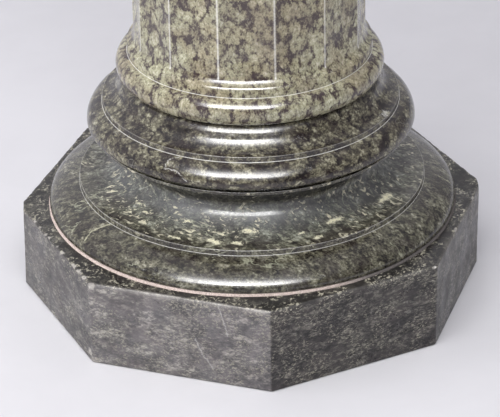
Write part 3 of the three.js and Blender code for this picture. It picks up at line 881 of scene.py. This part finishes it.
def makeShaft(look):
    pitch = 2 * math.pi / look["flutes"]
    arrises = [math.radians(look["fluteTurn"] + stray) + pitch * k for k, stray in enumerate(look["drift"])]
    arrises.append(arrises[0] + 2 * math.pi)
    turns = np.array([a + (b - a) * (u + 1) / 2 for a, b in zip(arrises, arrises[1:]) for u in acrossFlute])
    makeTurned("shaft", shaftOutline(look), look, makeMarble("shaftMarble", look), turns, carveFlutes)


makeShaft(shaftLook)


# Capital and top slab, out of the photograph and plainer

capitalLook = {
    "slot": "capital_marble", "around": 300, "longest": 1.2, "seed": 31,
    "rippleSize": 36.0, "rippleHeight": 0.05,
    "footRadius": 81.0, "hollowRadius": 106.0, "filletRadius": 106.3, "widestRadius": 127.0,
    "topRadius": 124.5, "hollowRise": 26.0, "filletRise": 4.0, "ovoloRise": 20.0, "topRise": 5.3,
}


def capitalOutline(s):
    foot = at(s["footRadius"], 0, 0.3)
    hollow = at(s["hollowRadius"], s["hollowRise"], 0.6, 0.6)
    fillet = at(s["filletRadius"], hollow[1] + s["filletRise"], 0.6, 0.4)
    widest = at(s["widestRadius"], fillet[1] + s["ovoloRise"])
    top = at(s["topRadius"], widest[1] + s["topRise"], 0.4)
    return [foot, *sweepTo(foot, hollow, 180, 95), fillet, *sweepTo(fillet, widest, -75, 0),
            *sweepTo(widest, top, 0, 50)]


makeTurned("capital", capitalOutline(capitalLook), capitalLook, ringMarble)

slabLook = plinthLook | {
    "slot": "slab_marble", "seed": 37, "corner": 3.0, "grid": 2.0, "sideSteps": 56, "cornerSteps": 6,
    "smallChips": 5, "chips": [], "sidesOut": [0] * 8, "cutCorners": [], "rubDepth": 0.3,
    "edgeWorn": [0.3] * 8, "marks": [], "dustAndLight": (0, 0), "polishedTop": (0, 0), "shift": (0.4, 0.2, 0.9),
    "gloss": (0.2, 0.34), "coat": 0.7, "coatRough": 0.1,
}
makeBlock("top_slab", slabLook, makeMarble("slabMarble", slabLook))


# Floor, lights and surroundings

studio = {
    "floorTone": (226, 225, 229), "floorRadius": 14.0, "floorGap": 0.0002,
    "skyTone": (218, 217, 223), "skyPower": 1.0, "frontShare": 0.16, "rightShare": 0.9, "screenShare": 0.4,
    "aimedAt": (0, 0, 0.12),
    # turn and rise in degrees, sizes in metres; a light that shines is mirrored in the stone
    "window": {"turn": -9.5, "rise": 54.5, "far": 2.2, "wide": 2.5, "high": 1.8, "power": 172.0,
               "fades": ((0.1, 0.8, 2.3, 0.06), (0.3, 0.5, 1.0, 0.15)), "shines": True, "lights": False},
    "softBox": {"turn": -15.0, "rise": 55.0, "far": 2.2, "wide": 1.8, "high": 1.4, "power": 36.0,
                "fades": (), "shines": False, "lights": True},
    "fill": {"turn": -76.0, "rise": 26.0, "far": 2.6, "wide": 1.8, "high": 1.4, "power": 21.0,
             "fades": (), "shines": False, "lights": True},
}


def makeFloor(spec):
    bpy.ops.mesh.primitive_circle_add(vertices=96, radius=spec["floorRadius"], fill_type="NGON",
                                      location=(0, 0, -spec["floorGap"]))
    floor = bpy.context.object
    floor.name = "floor"
    material, tree = newMaterial("floorPaper")
    place = addNode(tree, "TexCoord", output=3)
    mottle = spread(tree, cloud(tree, place, 9.0, 5.0, 0.6), 0.3, 0.7)
    dark = [v * 0.96 for v in tone(*spec["floorTone"])[:3]] + [1]
    colour = blendTones(tree, mottle, dark, tone(*spec["floorTone"]))
    shader = addNode(tree, "BsdfPrincipled", {"Base Color": colour, "Roughness": 0.7,
                                              "Specular IOR Level": 0.2})
    addNode(tree, "OutputMaterial", {"Surface": shader})
    floor.data.materials.append(material)


def aimedLight(name, spec):
    # a rectangular soft box, placed by its direction from the camera's side
    rise = math.radians(spec["rise"])
    back = heading(spec["turn"] + photoView["standsRound"]) * math.cos(rise) + Vector((0, 0, math.sin(rise)))
    data = bpy.data.lights.new(name, "AREA")
    data.shape = "RECTANGLE"
    data.size, data.size_y = spec["wide"], spec["high"]
    data.energy = spec["power"]
    light = bpy.data.objects.new(name, data)
    bpy.context.scene.collection.objects.link(light)
    light.location = Vector(studio["aimedAt"]) + back * spec["far"]
    light.rotation_mode = "QUATERNION"
    light.rotation_quaternion = (-back).to_track_quat("-Z", "Y")
    light.visible_camera = False
    light.visible_glossy = spec["shines"]
    light.visible_diffuse = spec["lights"]
    if spec["fades"]:
        # brightest along its lower edge, like a window's
        data.use_nodes = True
        tree = data.node_tree
        tree.nodes.clear()
        across = addNode(tree, "NewGeometry", output="Parametric")
        along = addNode(tree, "SeparateXYZ", {0: across})
        level = addNode(tree, "SeparateXYZ", {0: across}, output=1)
        upward, sideways = spec["fades"]
        sideFade = spread(tree, offMiddle(tree, along), *sideways)
        strength = product(tree, spread(tree, level, *upward), sideFade)
        glow = addNode(tree, "Emission", {"Strength": strength})
        addNode(tree, "OutputLight", {"Surface": glow})


def makeSky(spec):
    # pale all round, darker on the camera's side, where the studio is unlit
    world = bpy.data.worlds.new("studio")
    bpy.context.scene.world = world
    world.use_nodes = True
    tree = world.node_tree
    tree.nodes.clear()
    direction = addNode(tree, "TexCoord", output=0)
    front = dotWith(tree, direction, heading(photoView["standsRound"]))
    aside = dotWith(tree, direction, heading(photoView["standsRound"] + 90))
    ahead = spread(tree, front, 0.0, 0.6, 1.0, spec["frontShare"])
    right = spread(tree, aside, -0.3, 0.6, 1.0, spec["rightShare"])
    # polished stone mirrors less of it on the right, where a dark screen stands
    mirrored = addNode(tree, "LightPath", output="Is Glossy Ray")
    screen = product(tree, mirrored, spread(tree, aside, 0.0, 0.7, 0.0, 1 - spec["screenShare"]))
    strength = product(tree, ahead, right, calc(tree, "SUBTRACT", 1.0, screen), spec["skyPower"])
    glow = addNode(tree, "Background", {"Color": tone(*spec["skyTone"]), "Strength": strength})
    addNode(tree, "OutputWorld", {"Surface": glow})


makeFloor(studio)
for name in ("window", "softBox", "fill"):
    aimedLight(name, studio[name])
makeSky(studio)
bpy.context.scene.view_settings.view_transform = "Standard"
print("studio ready")
